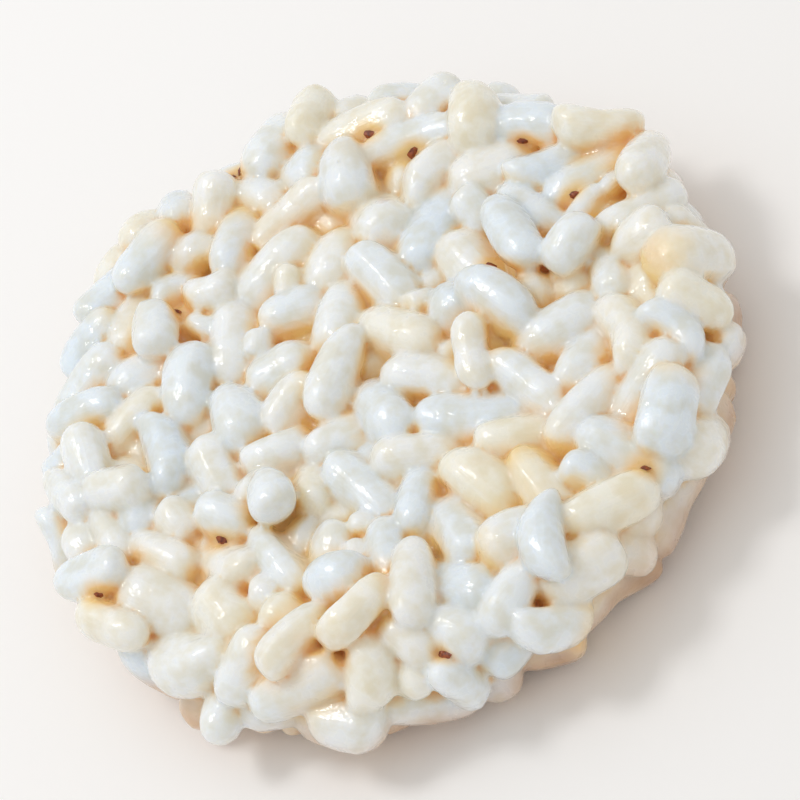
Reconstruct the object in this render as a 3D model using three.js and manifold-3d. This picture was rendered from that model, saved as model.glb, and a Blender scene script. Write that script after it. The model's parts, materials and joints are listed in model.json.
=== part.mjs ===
// A round puffed rice cake: about four hundred puffed grains, coated in syrup, pressed flat in a
// shallow round mould and set into one piece. It lies on its flatter face.
// Millimetres, +Z up, with the origin on the resting plane under the middle of the cake.
//
// The grains are packed by a rule that copies the pressing: they start in loose layers, the mould's
// ring and lid close on them, and they push each other aside until they fit. The grains that show are
// fused to a plain core, which stands for the syrup and the grains inside.

import * as THREE from "three";
import { mergeVertices } from "three/addons/utils/BufferGeometryUtils.js";
import Module from "manifold-3d";

// Driving dimensions of the cake.
const CAKE_DIAMETER = 68;
const CAKE_THICKNESS = 13;
const EDGE_RADIUS = 5; // of the rounded rim, seen in section
const RIM_WAVES = [
  // how far the hand-filled rim strays from a circle
  { height: 0.33, turns: 2, from: 0.6 },
  { height: 0.17, turns: 5, from: 2 },
];
const FACE_WAVES = [
  // how far the upper face strays from a plane
  { height: 0.18, alongX: 0.11, alongY: 0, from: 0.8 },
  { height: 0.18, alongX: -0.05, alongY: 0.13, from: 0 },
];
const PRESSED_FLAT = 0.3; // what the tray takes off the lowest grains

// The puffed grains.
const GRAIN_LENGTH = { usual: 8.1, least: 4.7, most: 11.4 };
const GRAIN_WIDTH = { usual: 4.9, least: 3.2, most: 6.6 };
const STOUTEST_GRAIN = 0.8; // width over length, at most
const SLIMMEST_GRAIN = 0.45;
const GRAIN_FLATNESS = 0.92; // thickness over width
const END_PLUMPNESS = 0.55; // 1 gives an ellipsoid, less gives blunter ends
const BENDS = [0, 0.03, 0.05, 0.08, 0.16]; // rise of the tips over the length, straight to crescent
const BEND_CENTRE = 0.4; // keeps a bent grain's middle where a straight one's is
const GRAIN_SIDES = 6;
const GRAIN_RINGS = 3;

// The pressing.
const LAYERS = 3;
const GRAINS_PER_LAYER = 124;
const MOST_TILT = 0.9; // radians, before the pressing
const LID_START = 1.35; // of the thickness
const RING_START = 1.07; // of the radius
const SWEEPS = 220;
const PRESSING_SWEEPS = 130; // the mould is shut after these
const PUSH_SHARE = 0.3; // of each overlap, taken out in one sweep
const SQUEEZE = 0.9; // grains touch at this share of their radius, because they are soft
const MOST_STANDING = 3.2; // a grain may stand out of the mould's wall by its own share of this
const SPREAD = new THREE.Vector3(0.0006, 0.0006, 0.0035); // outward share of a bead's place, each sweep
const SEED = 777;

// The core under the grains that show.
const CORE_DEPTH = 0.9; // below the mould's wall
const UNDERSIDE_DEPTH = 0.45; // less, because the syrup runs down and fills the gaps there
const LEAST_SHOWING = 0.5; // a grain that stands out of the core by less than this is left out
const CORE_SIDES = 20;
const CORE_EDGE_STEPS = 2;

const BEADS = [-1, 0, 1]; // each grain is three beads in a row while it is packed
const END_BEAD = 0.8; // an end bead's radius over the middle one's
const GOLDEN_ANGLE = Math.PI * (3 - Math.sqrt(5));
const MIDDLE = new THREE.Vector3(0, 0, CAKE_THICKNESS / 2);
const MOULD_PLACE = new THREE.Vector3(-0.55, 0.6, 0); // sets the middle of the cake's own box at 0, 0

const RICE = new THREE.MeshStandardMaterial({ color: 0xefe9dc, roughness: 0.35, metalness: 0 });

// A repeatable run of numbers from 0 to 1.
function seededRandom(seed) {
  let state = seed;
  return () => {
    state = (state * 48271) % 2147483647;
    return state / 2147483647;
  };
}

// The sum of two draws clusters round the usual size and thins out towards the limits.
function drawSize(random, { usual, least, most }) {
  const spread = random() + random() - 1;
  return usual + spread * (spread < 0 ? usual - least : most - usual);
}

// Grains in flat layers, spread evenly by the sunflower rule, each turned its own way.
function layOutGrains(random) {
  const grains = [];
  const reach = RING_START * (CAKE_DIAMETER / 2) - GRAIN_WIDTH.usual / 2;
  for (let layer = 0; layer < LAYERS; layer++)
    for (let i = 0; i < GRAINS_PER_LAYER; i++) {
      const radius = reach * Math.sqrt((i + 0.5) / GRAINS_PER_LAYER);
      const around = GOLDEN_ANGLE * i + layer;
      const turn = Math.PI * random();
      const tilt = MOST_TILT * (2 * random() - 1);
      const length = drawSize(random, GRAIN_LENGTH);
      const width = THREE.MathUtils.clamp(
        drawSize(random, GRAIN_WIDTH),
        SLIMMEST_GRAIN * length,
        STOUTEST_GRAIN * length,
      );
      grains.push({
        centre: new THREE.Vector3(
          radius * Math.cos(around),
          radius * Math.sin(around),
          (LID_START * CAKE_THICKNESS * (layer + 0.5)) / LAYERS,
        ),
        axis: new THREE.Vector3(
          Math.cos(turn) * Math.cos(tilt),
          Math.sin(turn) * Math.cos(tilt),
          Math.sin(tilt),
        ),
        length,
        width,
        bend: BENDS[Math.floor(BENDS.length * random())],
        roll: 2 * Math.PI * random(),
        standing: MOST_STANDING * random() ** 3,
      });
    }
  return grains;
}

function rimWave(around) {
  return RIM_WAVES.reduce(
    (sum, { height, turns, from }) => sum + height * Math.sin(turns * around + from),
    0,
  );
}

function faceWave(x, y) {
  return FACE_WAVES.reduce(
    (sum, { height, alongX, alongY, from }) =>
      sum + height * Math.sin(alongX * x + alongY * y + from),
    0,
  );
}

// The mould's wall is a rounded disc, and open goes from 1 to 0 as its ring and lid close. This gives
// the point of its inner, sharp-edged disc that is nearest to a point; the wall is EDGE_RADIUS
// further out.
function nearestInside(point, open) {
  const distance = Math.hypot(point.x, point.y);
  const around = Math.atan2(point.y, point.x);
  const ring = (CAKE_DIAMETER / 2) * (1 + (RING_START - 1) * open);
  const lid = CAKE_THICKNESS * (1 + (LID_START - 1) * open);
  const reach = ring - EDGE_RADIUS + rimWave(around);
  const shrink = distance > reach ? reach / distance : 1;
  const low = EDGE_RADIUS - PRESSED_FLAT;
  const high = lid - EDGE_RADIUS + faceWave(point.x, point.y);
  return new THREE.Vector3(
    point.x * shrink,
    point.y * shrink,
    Math.min(Math.max(point.z, low), Math.max(high, low)),
  );
}

function beadsOf(grain) {
  const radius = grain.width / 2;
  const offset = grain.length / 2 - END_BEAD * radius;
  return BEADS.map((side) => ({
    grain,
    centre: grain.centre.clone().addScaledVector(grain.axis, side * offset),
    radius: side === 0 ? radius : END_BEAD * radius,
    push: new THREE.Vector3(),
  }));
}

// One sweep: every bead is pushed out of its neighbours and back inside the mould, and then each
// grain takes the place and direction that its three beads ask for.
function sweep(grains, open) {
  const beads = grains.flatMap(beadsOf);
  const gap = new THREE.Vector3();
  for (let i = 0; i < beads.length; i++)
    for (let j = i + 1; j < beads.length; j++) {
      const a = beads[i];
      const b = beads[j];
      if (a.grain === b.grain) continue;
      const reach = SQUEEZE * (a.radius + b.radius);
      gap.subVectors(a.centre, b.centre);
      const distance = gap.length();
      if (distance >= reach || distance === 0) continue;
      gap.multiplyScalar((PUSH_SHARE * (reach - distance)) / distance);
      a.push.add(gap);
      b.push.sub(gap);
    }
  for (const bead of beads) {
    bead.centre.add(bead.push);
    bead.centre.add(bead.centre.clone().sub(MIDDLE).multiply(SPREAD));
    const inner = nearestInside(bead.centre, open);
    const out = bead.centre.clone().sub(inner);
    const distance = out.length();
    if (distance === 0) continue;
    const room = EDGE_RADIUS - bead.radius + bead.grain.standing * (1 + Math.min(out.z / distance, 0));
    if (distance > room) bead.centre.copy(inner).addScaledVector(out, room / distance);
  }
  grains.forEach((grain, i) => {
    const [first, middle, last] = beads.slice(3 * i, 3 * i + 3).map((bead) => bead.centre);
    grain.centre.copy(first).add(middle).add(last).divideScalar(3);
    grain.axis.subVectors(last, first).normalize();
  });
}

function pressGrains() {
  const grains = layOutGrains(seededRandom(SEED));
  for (let i = 0; i < SWEEPS; i++) sweep(grains, Math.max(0, 1 - i / PRESSING_SWEEPS));
  return grains;
}

// A grain stands out of the core where one of its beads reaches closer to the mould's wall.
function showing(grain) {
  const reach = beadsOf(grain).map(
    ({ centre, radius }) =>
      centre.distanceTo(nearestInside(centre, 0)) + radius - (EDGE_RADIUS - CORE_DEPTH),
  );
  return Math.max(...reach);
}

// A plump, blunt spindle along X, bent towards +Z, then turned and moved to the grain's place.
function grainGeometry(grain) {
  const geometry = new THREE.SphereGeometry(1, GRAIN_SIDES, GRAIN_RINGS);
  geometry.rotateZ(-Math.PI / 2);
  const place = geometry.getAttribute("position");
  const plump = (value) => Math.sign(value) * Math.abs(value) ** END_PLUMPNESS;
  for (let i = 0; i < place.count; i++) {
    const along = THREE.MathUtils.clamp(place.getX(i), -1, 1);
    const girth = Math.sqrt(1 - along * along);
    const swell = girth > 0 ? plump(girth) / girth : 0;
    place.setXYZ(
      i,
      plump(along) * (grain.length / 2),
      place.getY(i) * swell * (grain.width / 2),
      place.getZ(i) * swell * (grain.width / 2) * GRAIN_FLATNESS
        + grain.bend * grain.length * (along * along - BEND_CENTRE),
    );
  }
  geometry.rotateX(grain.roll);
  const turn = new THREE.Quaternion().setFromUnitVectors(new THREE.Vector3(1, 0, 0), grain.axis);
  geometry.applyQuaternion(turn);
  return geometry.translate(...grain.centre);
}

// The mould's own form, CORE_DEPTH smaller all round but for its underside, with its edge in flats.
function coreGeometry() {
  const radius = EDGE_RADIUS - CORE_DEPTH;
  const reach = CAKE_DIAMETER / 2 - EDGE_RADIUS;
  const low = EDGE_RADIUS - PRESSED_FLAT - (CORE_DEPTH - UNDERSIDE_DEPTH);
  const high = CAKE_THICKNESS - EDGE_RADIUS;
  const edge = (height, from) =>
    Array.from({ length: CORE_EDGE_STEPS + 1 }, (_, i) => {
      const angle = from + ((Math.PI / 2) * i) / CORE_EDGE_STEPS;
      return new THREE.Vector2(reach + radius * Math.cos(angle), height + radius * Math.sin(angle));
    });
  const profile = [
    new THREE.Vector2(0, low - radius),
    ...edge(low, -Math.PI / 2),
    ...edge(high, 0),
    new THREE.Vector2(0, high + radius),
  ];
  return new THREE.LatheGeometry(profile, CORE_SIDES).rotateX(Math.PI / 2);
}

const wasm = await Module();
wasm.setup();

function toSolid(geometry) {
  const bare = new THREE.BufferGeometry()
    .setAttribute("position", geometry.getAttribute("position"))
    .setIndex(geometry.index);
  const merged = mergeVertices(bare, 1e-4);
  const corners = merged.index.array;
  const place = merged.getAttribute("position").array;
  return new wasm.Manifold(
    new wasm.Mesh({
      numProp: 3,
      vertProperties: new Float32Array(place),
      triVerts: new Uint32Array(corners),
    }),
  );
}

function toGeometry(solid) {
  const mesh = solid.getMesh();
  return new THREE.BufferGeometry()
    .setAttribute("position", new THREE.BufferAttribute(new Float32Array(mesh.vertProperties), 3))
    .setIndex(new THREE.BufferAttribute(new Uint32Array(mesh.triVerts), 1));
}

// The plane that the cake rests on cuts its lowest grains flat.
function traySolid() {
  const depth = 4;
  const slab = new THREE.BoxGeometry(2 * CAKE_DIAMETER, 2 * CAKE_DIAMETER, depth);
  return toSolid(slab.translate(0, 0, -depth / 2));
}

// Fusing can close a hollow between grains: the largest body, alone, has no hollow and no scrap.
function fuse(solids) {
  const whole = wasm.Manifold.union(solids).subtract(traySolid());
  const bodies = whole.decompose();
  return bodies.reduce((best, body) => (body.volume() > best.volume() ? body : best));
}

function makeRiceCake() {
  const grains = pressGrains().filter((grain) => showing(grain) > LEAST_SHOWING);
  const solids = grains.map((grain) => toSolid(grainGeometry(grain)));
  const geometry = toGeometry(fuse([toSolid(coreGeometry()), ...solids]));
  const cake = new THREE.Mesh(geometry.translate(...MOULD_PLACE), RICE);
  cake.name = "rice_cake";
  return cake;
}

const part = new THREE.Group();
part.add(makeRiceCake());

export default part;
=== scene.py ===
# %% [markdown]
# # A round puffed rice cake
# Puffed grains of rice are tossed in hot sugar syrup, tipped into a shallow round mould, pressed
# flat and left to set. This lesson makes the cake in the same order: a rule in plain numbers does
# the pressing, Geometry Nodes put a grain on each place, a remesh sets the grains into one piece,
# and a few specks of scorched bran stick to the skin.
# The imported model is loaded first, because every piece has to stand where its solid stands.

import json
import math

import bmesh
import bpy
import numpy as np
from mathutils import Matrix, Quaternion, Vector, noise
from mathutils.bvhtree import BVHTree

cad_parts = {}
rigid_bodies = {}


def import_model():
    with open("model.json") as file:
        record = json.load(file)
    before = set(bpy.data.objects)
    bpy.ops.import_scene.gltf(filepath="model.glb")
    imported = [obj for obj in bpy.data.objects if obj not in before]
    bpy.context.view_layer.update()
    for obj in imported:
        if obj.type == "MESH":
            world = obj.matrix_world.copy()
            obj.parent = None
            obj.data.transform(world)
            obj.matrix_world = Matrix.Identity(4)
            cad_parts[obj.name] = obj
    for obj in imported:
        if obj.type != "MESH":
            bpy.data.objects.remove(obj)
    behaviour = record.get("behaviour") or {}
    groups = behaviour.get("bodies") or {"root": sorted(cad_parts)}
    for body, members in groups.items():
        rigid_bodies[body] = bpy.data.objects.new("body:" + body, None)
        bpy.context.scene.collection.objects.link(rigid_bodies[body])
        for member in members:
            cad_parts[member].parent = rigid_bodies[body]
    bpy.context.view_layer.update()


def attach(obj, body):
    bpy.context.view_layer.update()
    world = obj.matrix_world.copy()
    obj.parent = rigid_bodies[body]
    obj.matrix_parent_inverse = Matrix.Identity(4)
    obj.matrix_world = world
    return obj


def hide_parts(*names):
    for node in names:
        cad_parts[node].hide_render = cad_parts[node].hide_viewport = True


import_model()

# %% [markdown]
# A few helpers serve the whole lesson. Colours are written as the hex values a painter would pick
# on a screen, and one function turns them to the linear values that a shader works with. Node
# trees are built by one small function that adds a node, sets it and wires it up.

# %% Helpers for colours, nodes and objects
MM = 0.001


def linear(hex_colour):
    """An sRGB hex colour as the linear RGBA that shaders use."""
    channels = [int(hex_colour[i : i + 2], 16) / 255 for i in (1, 3, 5)]
    return [c / 12.92 if c <= 0.04045 else ((c + 0.055) / 1.055) ** 2.4 for c in channels] + [1]


def set_stops(ramp, stops):
    """Give a colour ramp its stops, each a position and a hex colour."""
    while len(ramp.elements) > 1:
        ramp.elements.remove(ramp.elements[-1])
    for i, (position, hex_colour) in enumerate(stops):
        stop = ramp.elements[0] if i == 0 else ramp.elements.new(position)
        stop.position = position
        stop.color = linear(hex_colour)


def add_node(tree, kind, inputs=None, **settings):
    """Add a node. An input is given a plain value, or another node's output to link to."""
    node = tree.nodes.new(kind)
    for name, value in settings.items():
        if name == "color_ramp":
            set_stops(node.color_ramp, value)
        else:
            setattr(node, name, value)
    for key, value in (inputs or {}).items():
        if isinstance(value, bpy.types.NodeSocket):
            tree.links.new(value, node.inputs[key])
        else:
            node.inputs[key].default_value = value
    return node


def put_in_scene(name, data):
    """A new object for a mesh, a lamp or a lens."""
    thing = bpy.data.objects.new(name, data)
    bpy.context.scene.collection.objects.link(thing)
    return thing


print("white rice in linear light:", [round(v, 3) for v in linear("#EDEFEC")])

# %% [markdown]
# The camera comes before the pieces, so that each can be judged as it is made. A long lens from a
# hand's length or two away shows the round face as a near ellipse, and the camera is rolled, so
# that the face's long side runs up to the right.

# %% Camera
AIM = Vector((0.0006, -0.0004, 0.0066))
CAMERA_DISTANCE = 0.36
CAMERA_ELEVATION = math.radians(51)
CAMERA_ROLL = math.radians(35)
LENS_MM = 172

lens = bpy.data.cameras.new("food lens")
lens.lens = LENS_MM
lens.sensor_width = 36
lens.clip_start = 0.01
camera = put_in_scene("camera", lens)
back = Vector((0, -math.cos(CAMERA_ELEVATION), math.sin(CAMERA_ELEVATION)))
camera.location = AIM + CAMERA_DISTANCE * back
level = (-back).to_track_quat("-Z", "Y").to_matrix()
camera.rotation_euler = (level @ Matrix.Rotation(-CAMERA_ROLL, 3, "Z")).to_euler()
bpy.context.scene.camera = camera
print("camera at, mm:", [round(1000 * v) for v in camera.location])

# %% [markdown]
# The table is a plain pale board. White food is lit softly, or it turns to chalk and ink: a wide
# light from behind and to one side rounds every grain, a small one gives the syrup its bright
# points, and the pale sky fills the shadows.

# %% Floor and lights
FLOOR_SIZE = 3.0
SKY_STRENGTH = 0.675

floor_mesh = bpy.data.meshes.new("pale board")
half = FLOOR_SIZE / 2
floor_mesh.from_pydata(
    [(-half, -half, 0), (half, -half, 0), (half, half, 0), (-half, half, 0)], [], [(0, 1, 2, 3)]
)
floor = put_in_scene("pale_board", floor_mesh)

# Matt paint has no gloss to draw the eye, only a soft shadow and a little light thrown back up.
board_paint = bpy.data.materials.new("matt white paint")
board_paint.use_nodes = True
paint = board_paint.node_tree.nodes["Principled BSDF"]
paint.inputs["Base Color"].default_value = linear("#FAF9F8")
paint.inputs["Roughness"].default_value = 0.7
floor_mesh.materials.append(board_paint)

sky = bpy.data.worlds.new("pale sky")
sky.use_nodes = True
sky.node_tree.nodes["Background"].inputs["Color"].default_value = linear("#FFFDFA")
sky.node_tree.nodes["Background"].inputs["Strength"].default_value = SKY_STRENGTH
bpy.context.scene.world = sky

LIGHTS = [
    # name, watts, size in metres, place, colour
    ("soft window", 0.50, 0.70, (-0.18, 0.26, 0.44), "#EEF5FF"),
    ("small glint", 0.66, 0.13, (-0.17, 0.17, 0.48), "#FFFFFF"),
]
for name, watts, size, place, tint in LIGHTS:
    lamp = bpy.data.lights.new(name, "AREA")
    lamp.energy = watts
    lamp.size = size
    lamp.color = linear(tint)[:3]
    holder = put_in_scene(name, lamp)
    holder.location = place
    holder.rotation_euler = (-Vector(place)).to_track_quat("-Z", "Y").to_euler()
bpy.context.scene.view_settings.view_transform = "Standard"
print("lights:", [light[0] for light in LIGHTS])

# %% [markdown]
# ## The grains in the mould
# On the real cake no grain has a place of its own: each lies where its neighbours and the mould let
# it. Grains scattered at random would cut through each other, so the pressing is worked out
# instead. These are the same sizes and the same rule as the solid's, and they give the same places.

# %% Sizes of the cake and its grains, in millimetres
CAKE_DIAMETER = 68
CAKE_THICKNESS = 13
EDGE_RADIUS = 5
RIM_WAVES = [(0.33, 2, 0.6), (0.17, 5, 2)]  # height, turns, from
FACE_WAVES = [(0.18, 0.11, 0, 0.8), (0.18, -0.05, 0.13, 0)]  # height, along x, along y, from
PRESSED_FLAT = 0.3
GRAIN_LENGTH = (8.1, 4.7, 11.4)  # usual, least, most
GRAIN_WIDTH = (4.9, 3.2, 6.6)
STOUTEST_GRAIN = 0.8  # width over length
SLIMMEST_GRAIN = 0.45
GRAIN_FLATNESS = 0.92
BENDS = [0, 0.03, 0.05, 0.08, 0.16]
BEND_CENTRE = 0.4
LAYERS = 3
GRAINS_PER_LAYER = 124
MOST_TILT = 0.9
LID_START = 1.35
RING_START = 1.07
SWEEPS = 220
PRESSING_SWEEPS = 130
PUSH_SHARE = 0.3
SQUEEZE = 0.9
MOST_STANDING = 3.2  # out of the face
STANDING_POWER = 3  # a higher power leaves fewer grains standing out
SPREAD = np.array([0.0006, 0.0006, 0.0035])
SEED = 777
END_BEAD = 0.8
BEAD_SIDES = np.array([-1, 0, 1])
GOLDEN_ANGLE = math.pi * (3 - math.sqrt(5))
MIDDLE = np.array([0, 0, CAKE_THICKNESS / 2])
MOULD_PLACE = np.array([-0.55, 0.6, 0])  # sets the middle of the cake's own box at 0, 0
print(LAYERS * GRAINS_PER_LAYER, "grains")

# %% [markdown]
# The grains start in loose flat layers, spread by the sunflower rule, and each is turned its own
# way. A short chain of whole-number products stands in for chance, so every run is the same.


# %% Loose grains in layers
DRAW_STEP = 48271
DRAW_PRIME = 2147483647


def seeded_draws(seed):
    """A repeatable run of numbers from 0 to 1."""
    state = seed
    while True:
        state = state * DRAW_STEP % DRAW_PRIME
        yield state / DRAW_PRIME


def draw_size(draws, usual, least, most):
    """Two draws together cluster round the usual size."""
    spread = next(draws) + next(draws) - 1
    return usual + spread * (usual - least if spread < 0 else most - usual)


def lay_out_grains():
    draws = seeded_draws(SEED)
    reach = RING_START * CAKE_DIAMETER / 2 - GRAIN_WIDTH[0] / 2
    rows = []
    for layer in range(LAYERS):
        for i in range(GRAINS_PER_LAYER):
            radius = reach * math.sqrt((i + 0.5) / GRAINS_PER_LAYER)
            around = GOLDEN_ANGLE * i + layer
            turn = math.pi * next(draws)
            tilt = MOST_TILT * (2 * next(draws) - 1)
            length = draw_size(draws, *GRAIN_LENGTH)
            width = draw_size(draws, *GRAIN_WIDTH)
            width = min(max(width, SLIMMEST_GRAIN * length), STOUTEST_GRAIN * length)
            bend = BENDS[int(len(BENDS) * next(draws))]
            roll = 2 * math.pi * next(draws)
            standing = MOST_STANDING * next(draws) ** STANDING_POWER
            centre = (
                radius * math.cos(around),
                radius * math.sin(around),
                LID_START * CAKE_THICKNESS * (layer + 0.5) / LAYERS,
            )
            axis = (
                math.cos(turn) * math.cos(tilt),
                math.sin(turn) * math.cos(tilt),
                math.sin(tilt),
            )
            rows.append((*centre, *axis, length, width, bend, roll, standing))
    table = np.array(rows)
    single = ("length", "width", "bend", "roll", "standing")
    columns = {key: table[:, 6 + i] for i, key in enumerate(single)}
    return {"centre": table[:, 0:3], "axis": table[:, 3:6], **columns}


grains = lay_out_grains()
print("mean grain, mm:", grains["length"].mean().round(2), "x", grains["width"].mean().round(2))

# %% [markdown]
# The mould is a disc with a rounded edge. Seen from inside, its wall is everywhere one edge radius
# away from a smaller, sharp-edged disc, so a single nearest point on that disc answers both how far
# a grain may go and how deep a spot lies under the surface.


# %% The mould's wall
def nearest_inside(points, open_share=0.0):
    """The nearest points of the wall's inner disc; open_share is how far the mould still gapes."""
    x, y, z = points.T
    distance = np.hypot(x, y)
    around = np.arctan2(y, x)
    ring = CAKE_DIAMETER / 2 * (1 + (RING_START - 1) * open_share)
    lid = CAKE_THICKNESS * (1 + (LID_START - 1) * open_share)
    wave = sum(height * np.sin(turns * around + start) for height, turns, start in RIM_WAVES)
    reach = ring - EDGE_RADIUS + wave
    shrink = np.where(distance > reach, reach / np.maximum(distance, 1e-9), 1)
    low = EDGE_RADIUS - PRESSED_FLAT
    swell = sum(h * np.sin(ax * x + ay * y + start) for h, ax, ay, start in FACE_WAVES)
    high = np.maximum(lid - EDGE_RADIUS + swell, low)
    return np.stack([x * shrink, y * shrink, np.clip(z, low, high)], axis=1)


def depth_under_wall(points):
    return EDGE_RADIUS - np.linalg.norm(points - nearest_inside(points), axis=1)


print("depth in the middle, mm:", depth_under_wall(MIDDLE[None])[0].round(2))

# %% [markdown]
# Each grain is three beads in a row. In every sweep a bead is pushed out of the beads it overlaps
# and back inside the wall, while the ring and lid close, and then the grain follows its beads. The
# list of near pairs is renewed only every few sweeps, because grains creep.


# %% Press the grains
NEAR_PAIR = 8.5  # millimetres between bead centres, more than two beads can reach
PAIR_SWEEPS = 6


def beads_of(grains):
    radius = grains["width"] / 2
    offset = grains["length"] / 2 - END_BEAD * radius
    steps = offset[:, None] * BEAD_SIDES
    centres = grains["centre"][:, None, :] + grains["axis"][:, None, :] * steps[:, :, None]
    radii = radius[:, None] * np.array([END_BEAD, 1, END_BEAD])
    return centres.reshape(-1, 3), radii.reshape(-1)


def near_pairs(centres):
    squares = (centres**2).sum(axis=1)
    apart = squares[:, None] + squares[None] - 2 * centres @ centres.T
    owner = np.arange(len(centres)) // len(BEAD_SIDES)
    first, second = np.nonzero((owner[:, None] < owner[None]) & (apart < NEAR_PAIR**2))
    return first, second


def press(grains):
    standing = np.repeat(grains["standing"], len(BEAD_SIDES))
    for sweep in range(SWEEPS):
        centres, radii = beads_of(grains)
        if sweep % PAIR_SWEEPS == 0:
            first, second = near_pairs(centres)
        gap = centres[first] - centres[second]
        distance = np.linalg.norm(gap, axis=1)
        reach = SQUEEZE * (radii[first] + radii[second])
        touching = (distance < reach) & (distance > 0)
        share = np.where(touching, PUSH_SHARE * (reach - distance) / np.maximum(distance, 1e-9), 0)
        push = np.zeros_like(centres)
        np.add.at(push, first, gap * share[:, None])
        np.add.at(push, second, -gap * share[:, None])
        centres = centres + push
        centres = centres + (centres - MIDDLE) * SPREAD
        inner = nearest_inside(centres, max(0, 1 - sweep / PRESSING_SWEEPS))
        out = centres - inner
        distance = np.linalg.norm(out, axis=1)
        downward = np.minimum(out[:, 2] / np.maximum(distance, 1e-9), 0)
        room = EDGE_RADIUS - radii + standing * (1 + downward)
        on_wall = inner + out * (room / np.maximum(distance, 1e-9))[:, None]
        centres = np.where((distance > room)[:, None], on_wall, centres)
        beads = centres.reshape(-1, len(BEAD_SIDES), 3)
        along = beads[:, 2] - beads[:, 0]
        grains["centre"] = beads.mean(axis=1)
        grains["axis"] = along / np.linalg.norm(along, axis=1)[:, None]


press(grains)
print("first grain lies at, mm:", grains["centre"][0].round(3))

# %% [markdown]
# Broken grains and crumbs of puffed rice are too small to hold the others apart, so they end up in
# the gaps. Spots just under the surface are tried, and the roomiest one gets a crumb that just
# fits, again and again, until only small corners are left for the syrup.

# %% Fill the gaps with broken grains
GAP_SPOTS = 60000
GAP_DEPTH = (1.2, 2.8)  # millimetres under the wall
LEAST_ROOM = 0.62  # from a spot to the nearest grain
CRUMB_PRESS = 0.35  # how far a crumb sinks into its neighbours
WIDEST_CRUMB = 4.2
CRUMB_STRETCH = (1.15, 0.6)  # its length over its width: the least, and what chance adds
CRUMB_LAID = 0.8  # how much of its lean out of the face is taken away
GRAIN_BODY = 0.93  # a grain's own radius over its widest, taken along its length
CHANCE_SEED = 11

chance = np.random.default_rng(CHANCE_SEED)


def distance_to_grains(points, grains):
    """Distance from each point to the nearest grain, each taken as a round-ended rod."""
    nearest = np.full(len(points), np.inf)
    half_rod = grains["length"] / 2 - END_BEAD * grains["width"] / 2
    for centre, axis, half, width in zip(
        grains["centre"], grains["axis"], half_rod, grains["width"]
    ):
        away = points - centre
        along = np.clip(away @ axis, -half, half)
        rest = away - along[:, None] * axis
        reach = np.sqrt((rest**2).sum(axis=1)) - GRAIN_BODY * width / 2
        np.minimum(nearest, reach, out=nearest)
    return nearest


def fill_gaps(grains):
    around = 2 * math.pi * chance.random(GAP_SPOTS)
    radius = CAKE_DIAMETER / 2 * np.sqrt(chance.random(GAP_SPOTS))
    height = CAKE_THICKNESS * chance.random(GAP_SPOTS)
    spots = np.stack([radius * np.cos(around), radius * np.sin(around), height], axis=1)
    depth = depth_under_wall(spots)
    spots = spots[(depth > GAP_DEPTH[0]) & (depth < GAP_DEPTH[1])]
    room = distance_to_grains(spots, grains)
    crumbs = {key: [] for key in grains}
    while room.max() > LEAST_ROOM:
        best = int(room.argmax())
        width = min(2 * (room[best] + CRUMB_PRESS), WIDEST_CRUMB)
        length = width * (CRUMB_STRETCH[0] + CRUMB_STRETCH[1] * chance.random())
        axis = chance.normal(size=3)
        outward = spots[best] - nearest_inside(spots[best][None])[0]
        outward /= max(np.linalg.norm(outward), 1e-9)
        axis -= CRUMB_LAID * (axis @ outward) * outward
        axis /= np.linalg.norm(axis)
        crumb = {
            "centre": spots[best],
            "axis": axis,
            "length": length,
            "width": width,
            "bend": 0.0,
            "roll": 2 * math.pi * chance.random(),
            "standing": 0.0,
        }
        for key, value in crumb.items():
            crumbs[key].append(value)
        one = {key: np.array([value]) for key, value in crumb.items()}
        room = np.minimum(room, distance_to_grains(spots, one))
    return {key: np.array(values) for key, values in crumbs.items()}


crumbs = fill_gaps(grains)
whole_count = len(grains["length"])
pile = {key: np.concatenate([grains[key], crumbs[key]]) for key in grains}
pile["centre"] = pile["centre"] + MOULD_PLACE
print(len(crumbs["length"]), "broken grains in the gaps")

# %% [markdown]
# ## The finishes
# Puffed rice is dried starch foam: white, slightly see-through at its thin skin, and each grain has
# puffed a little more or less, so some are cool white, some cream and some still glassy and
# yellowish. The syrup coats every grain with a hard gloss. It is clear in a thin film and golden
# where it collects, so the grains are stained in the pits and creases between them, more in some
# parts of the cake than in others, and tan low on the rim. The gold in the pits and creases is
# also painted shade, deeper the less open a point lies, and the tan low on the rim is also painted
# shade of the lower rim. Three values that each point of the mesh carries steer this: its grain's
# tint, how open it lies to the air, and its place on the grain.

# %% Finish: what steers it
SCALE_PER_MM = 1000  # a noise scale of one feature each millimetre, on coordinates in metres
NOISES = {
    # name: (millimetres across, detail)
    "mottle": (2, 3),  # uneven puffing
    "scorching": (5, 1),  # the syrup browned unevenly
    "patches": (15, 2),  # parts of the cake that hold more syrup
    "pits": (1 / 2.2, 3),  # bubbles of the foam
    "ripples": (1, 1),  # of the set syrup
}

# Puffed rice in set sugar syrup gives the eye a milky, soft inside under a hard, wet-looking gloss.
rice = bpy.data.materials.new("puffed rice in set sugar syrup")
rice.use_nodes = True
tree = rice.node_tree
shader = tree.nodes["Principled BSDF"]
place = add_node(tree, "ShaderNodeTexCoord").outputs["Object"]
carried = {
    name: add_node(tree, "ShaderNodeAttribute", attribute_name=name).outputs
    for name in ("tint", "openness", "grain_place")
}
noises = {
    name: add_node(
        tree,
        "ShaderNodeTexNoise",
        {"Vector": place, "Scale": SCALE_PER_MM / size, "Detail": detail},
    ).outputs["Fac"]
    for name, (size, detail) in NOISES.items()
}
print("noises:", list(noises))

# %% Finish: the rice's own colour
GRAIN_TINTS = [(0, "#E3EDF7"), (0.5, "#EFF4F7"), (0.85, "#F3F3EF"), (1, "#F3F1E6")]
MOTTLING = [(0.35, "#F5F0E4"), (0.6, "#FFFFFF")]

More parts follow.
